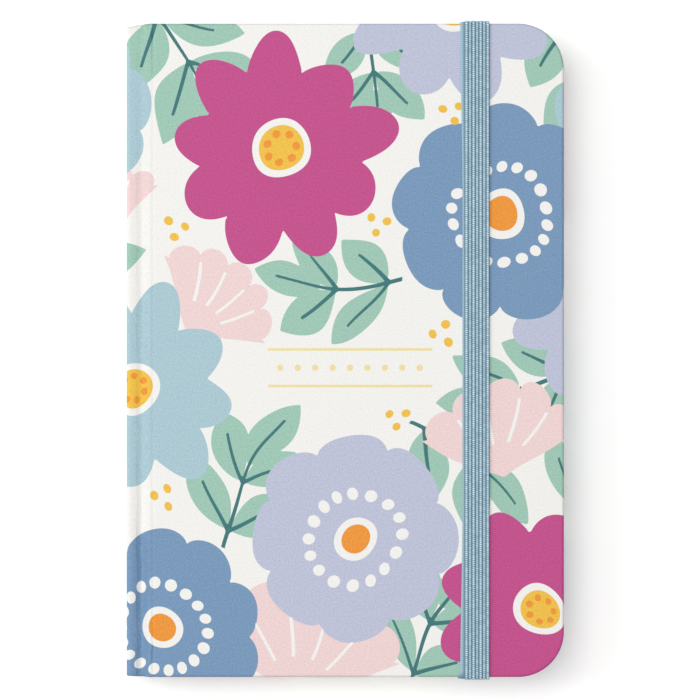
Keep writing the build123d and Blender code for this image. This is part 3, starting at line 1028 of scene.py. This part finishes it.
def tint_leaves(piece, points, page, tab, top_z):
    """Colour beyond the cut line: the tab's tint on the top leaf, plain page on the others."""
    leaf_depth = 0.15
    first = points[:, 2] > top_z - leaf_depth
    shade = np.where(first[:, None], np.array(tab), np.array(page))
    layer = piece.data.attributes.new("tint", "FLOAT_COLOR", "POINT")
    layer.data.foreach_set("color", shade.astype(np.float32).ravel())


def blend_leaf(piece):
    """Bakes the leaf's placement into its mesh; the leaf stays flat as it was drawn."""
    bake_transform(piece)


def tab_letters(letters, middle_y, z, material, look):
    """Index letters as a flat mesh on the tab, one above the other."""
    letter_height = 3.4
    curve = bpy.data.curves.new("letters", "FONT")
    curve.body = letters[0] + "\n" + letters[1]
    curve.size = letter_height * MM
    curve.space_line = 0.95
    curve.align_x = "CENTER"
    curve.align_y = "CENTER"
    words = bpy.data.objects.new("letters", curve)
    bpy.context.scene.collection.objects.link(words)
    bpy.context.view_layer.update()
    mesh = bpy.data.meshes.new_from_object(words.evaluated_get(bpy.context.evaluated_depsgraph_get()))
    bpy.data.objects.remove(words)
    bpy.data.curves.remove(curve)
    place = np.empty(len(mesh.vertices) * 3)
    mesh.vertices.foreach_get("co", place)
    place = place.reshape(-1, 3) + np.array([LEAF_HIGH[0] - look.tab_depth / MM / 2, middle_y, z]) * MM
    mesh.vertices.foreach_set("co", place.ravel())
    mesh.update()
    mesh.materials.clear()
    mesh.materials.append(material)
    piece = bpy.data.objects.new("tab_letters_" + letters.lower(), mesh)
    bpy.context.scene.collection.objects.link(piece)
    return piece


class BuildLeaves(bpy.types.Operator):
    """Builds the step-cut sections, their tab letters and the last section"""
    bl_idname = "address_book.leaves"
    bl_label = "Leaves"

    def execute(self, context):
        look, inks = context.scene.book_leaves, context.scene.book_print
        paper = book_paper(look)
        # Printing ink lies dense and matt, with hardly a mottle.
        ink = plain_stock("printing_ink", look.ink, 0.5, 0.05)
        random = np.random.default_rng(7)
        tints = [inks.magenta, inks.sky, inks.mustard, inks.leaf, inks.lilac, inks.pink, inks.blue]
        ink_lift = 0.012
        tab_height = (LEAF_HIGH[1] - LEAF_LOW[1]) / len(SECTION_NAMES)
        for row, body in enumerate(SECTION_NAMES):
            low, high = box_mm(body)
            tab_bottom = LEAF_HIGH[1] - (row + 1) * tab_height
            last = row == len(SECTION_NAMES) - 1
            outline = leaf_outline(None if last else tab_bottom, look)
            hinge = JOINT_POS[body + "_turn"]
            piece, points = leaf_stack(body + "_leaves", outline, hinge[0], low[2], high[2], paper, look,
                                       random)
            tint_leaves(piece, points, look.page, tints[row % len(tints)], high[2])
            blend_leaf(piece)
            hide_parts(body)
            letters = tab_letters(body[-2:].upper(), tab_bottom + tab_height / 2, high[2] + ink_lift, ink,
                                  look)
            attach(letters, body)
        low, high = LEAF_LOW, LEAF_HIGH
        piece, points = leaf_stack("birthday_leaves", leaf_outline(None, look), low[0], low[2], high[2],
                                   paper, look, random)
        tint_leaves(piece, points, look.page, look.page, high[2])
        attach(piece, ROOT)
        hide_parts("birthday_section", "sewn_folds")
        return {"FINISHED"}


def inner_joint(flyleaf_top):
    """Endpaper across the inner joint: a smooth step up from the flyleaf's fold to the pastedown, carried
    from tail to head as a thin solid; returns points, faces and where the step starts (x, z)."""
    fold_low, fold_high = box_mm("front_endpaper_fold")
    sheet_low = box_mm("front_pastedown")[0]
    inset, overlap, thick, clear = 0.2, 1.0, 0.06, 0.01
    share = np.linspace(0, 1, 32)
    x = fold_low[0] + inset + (sheet_low[0] + overlap - fold_low[0] - inset) * share
    z = flyleaf_top + thick + clear + (sheet_low[2] - flyleaf_top - thick - 2 * clear) * smooth(share)
    y = np.linspace(fold_low[1], fold_high[1], 40)
    wide = np.repeat(x[:, None], y.size, axis=1)
    long = np.repeat(y[None, :], x.size, axis=0)
    top = np.stack([wide, long, np.repeat(z[:, None], y.size, axis=1)], axis=2)
    return (*slab(top, top - np.array([0, 0, thick])), x[0], z[0])


class BuildEndpapers(bpy.types.Operator):
    """Builds the flyleaf and the inner joint, and colours the pastedowns"""
    bl_idname = "address_book.endpapers"
    bl_label = "Endpapers"

    def execute(self, context):
        look = context.scene.book_leaves
        # Paper dyed in the pulp is matt and even, with a faint cloud of fibres.
        stock = plain_stock("dyed_endpaper", look.endpaper, 0.8, 0.05)
        hinge = JOINT_POS["front_flyleaf_turn"]
        low, high = box_mm("front_flyleaf")
        back_gap = 0.1
        points, faces = leaf_sheet(*leaf_outline(None, look), FOLD_LOW[0] + back_gap,
                                   hinge[0] + look.bend / MM, low[2], high[2] - low[2])
        flyleaf = make_piece("front_flyleaf_sheet", points, faces, stock)
        sharpen(flyleaf, 40)
        blend_leaf(flyleaf)
        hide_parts("front_flyleaf")

        points, faces, x, z = inner_joint(high[2])
        fold = make_piece("front_endpaper_hinge", points, faces, stock)
        sharpen(fold, 40)
        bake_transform(fold)
        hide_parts("front_endpaper_fold")
        recolour(("front_pastedown", "back_pastedown", "back_endpaper_fold", "back_flyleaf"), stock)
        return {"FINISHED"}


def wound_band(node, end, material):
    """Cord wound with silk along one end of the block: a circle carried up the band, whose radius swells by
    the absolute sine of each thread; the silk's colour changes every third thread."""
    thread, swell, end_draw, stripe_threads = 0.4, 0.1, 0.25, 3
    low, high = box_mm(node)
    up = np.linspace(low[2], high[2], 8 * int((high[2] - low[2]) / thread) + 1)
    turn = np.linspace(0, 2 * np.pi, 25)[:-1]
    bead = (high[0] - low[0]) / 2
    radius = bead - swell + swell * np.abs(np.sin(np.pi * (up - low[2]) / thread))
    radius[[0, -1]] = bead - end_draw
    bead_y = (high[1] if end > 0 else low[1]) - end * bead
    points = np.stack([(low[0] + high[0]) / 2 + radius[:, None] * np.cos(turn),
                       bead_y + radius[:, None] * np.sin(turn),
                       np.repeat(up[:, None], turn.size, axis=1)], axis=2)
    faces = tube_faces(up.size, turn.size)
    piece = make_piece(node + "_silk", points.reshape(-1, 3), faces, material)
    stripe = np.floor((up - low[2]) / (stripe_threads * thread)) % 2
    point_field(piece, "stripe", np.repeat(stripe, turn.size))
    return piece


class BuildBinding(bpy.types.Operator):
    """Builds the wound bands and colours the boards, threads and lining"""
    bl_idname = "address_book.binding"
    bl_label = "Binding"

    def execute(self, context):
        silk = striped_band(context.scene.book_leaves)
        for end, node in ((1, "head_band"), (-1, "tail_band")):
            piece = wound_band(node, end, silk)
            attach(piece, ROOT)
            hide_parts(node)
        # Pressed waste paper shows grey chips; linen thread and open lining cloth are pale and uneven.
        recolour(("front_board", "back_board"), plain_stock("grey_board", linear("#9A958C"), 0.6, 0.2))
        recolour(("sewing_threads",), plain_stock("linen_thread", linear("#EDE6D6"), 0.3, 0.1))
        recolour(("spine_lining",), plain_stock("mull_cloth", linear("#E4DECF"), 0.5, 0.2))
        return {"FINISHED"}


class BuildStage(bpy.types.Operator):
    """Sets the pale floor, the soft light and the camera straight above the front cover"""
    bl_idname = "address_book.stage"
    bl_label = "Stage"

    def execute(self, context):
        scene = context.scene
        look = scene.book_stage
        # Matt painted table with no gloss, lit through a little so that it stays white round the book.
        floor_material, _, _ = new_material("matt_floor", {
            "Base Color": look.floor, "Roughness": 0.9, "Specular IOR Level": 0.0,
            "Emission Color": look.floor, "Emission Strength": look.glow})
        half = 3.0
        # A hair above the book's underside, so that the two faces don't lie in one plane.
        level = 0.02 * MM
        corners = [(-half, -half, level), (half, -half, level), (half, half, level), (-half, half, level)]
        mesh = bpy.data.meshes.new("floor")
        mesh.from_pydata(corners, [], [(0, 1, 2, 3)])
        mesh.materials.append(floor_material)
        floor = bpy.data.objects.new("floor", mesh)
        scene.collection.objects.link(floor)

        world = bpy.data.worlds.new("white_surround")
        world.use_nodes = True
        surround = world.node_tree.nodes["Background"]
        surround.inputs["Color"].default_value = linear("#FFFFFF")
        surround.inputs["Strength"].default_value = look.sky_strength
        scene.world = world

        # Each lamp's name, power, width and place in metres; both look at the origin.
        lamps = (("soft_key", look.key_watts, 0.7, (-0.26, 0.17, 1.25)),
                 ("low_side", look.side_watts, 0.8, (-1.5, 0.4, 1.5)))
        for name, watts, width, place in lamps:
            light = bpy.data.lights.new(name, "AREA")
            light.energy = watts
            light.size = width
            lamp = bpy.data.objects.new(name, light)
            lamp.location = place
            lamp.rotation_euler = (-lamp.location).to_track_quat("-Z", "Y").to_euler()
            scene.collection.objects.link(lamp)

        lens = bpy.data.cameras.new("camera")
        lens.lens = look.lens
        lens.sensor_width = 36.0
        lens.clip_start = 0.01
        camera = bpy.data.objects.new("camera", lens)
        away = look.frame_width * look.lens / lens.sensor_width
        camera.location = (look.offset_x, look.offset_y, FRONT_HIGH[2] * MM + away)
        scene.collection.objects.link(camera)
        scene.camera = camera
        scene.view_settings.view_transform = "Standard"
        return {"FINISHED"}


PIECES = (BuildCase, BuildStrap, BuildLeaves, BuildEndpapers, BuildBinding, BuildStage)
SETTINGS = {"book_print": CasePrint, "book_strap": StrapKnit, "book_leaves": LeafStock,
            "book_stage": StageLight}


class AddressBookPanel(bpy.types.Panel):
    """Sidebar list of the pieces and their settings"""
    bl_idname = "VIEW3D_PT_address_book"
    bl_label = "Address Book"
    bl_space_type = "VIEW_3D"
    bl_region_type = "UI"
    bl_category = "Address Book"

    def draw(self, context):
        for piece in PIECES:
            self.layout.operator(piece.bl_idname)
        for place, group in SETTINGS.items():
            settings = getattr(context.scene, place)
            for key in group.__annotations__:
                self.layout.prop(settings, key)


CLASSES = (*SETTINGS.values(), *PIECES, AddressBookPanel)


def register():
    for item in CLASSES:
        bpy.utils.register_class(item)
    for place, group in SETTINGS.items():
        setattr(bpy.types.Scene, place, bpy.props.PointerProperty(type=group))


def unregister():
    for place in SETTINGS:
        delattr(bpy.types.Scene, place)
    for item in reversed(CLASSES):
        bpy.utils.unregister_class(item)


def main():
    register()
    bpy.ops.address_book.case()
    bpy.ops.address_book.strap()
    bpy.ops.address_book.leaves()
    bpy.ops.address_book.endpapers()
    bpy.ops.address_book.binding()
    bpy.ops.address_book.stage()


if __name__ == "__main__":
    main()
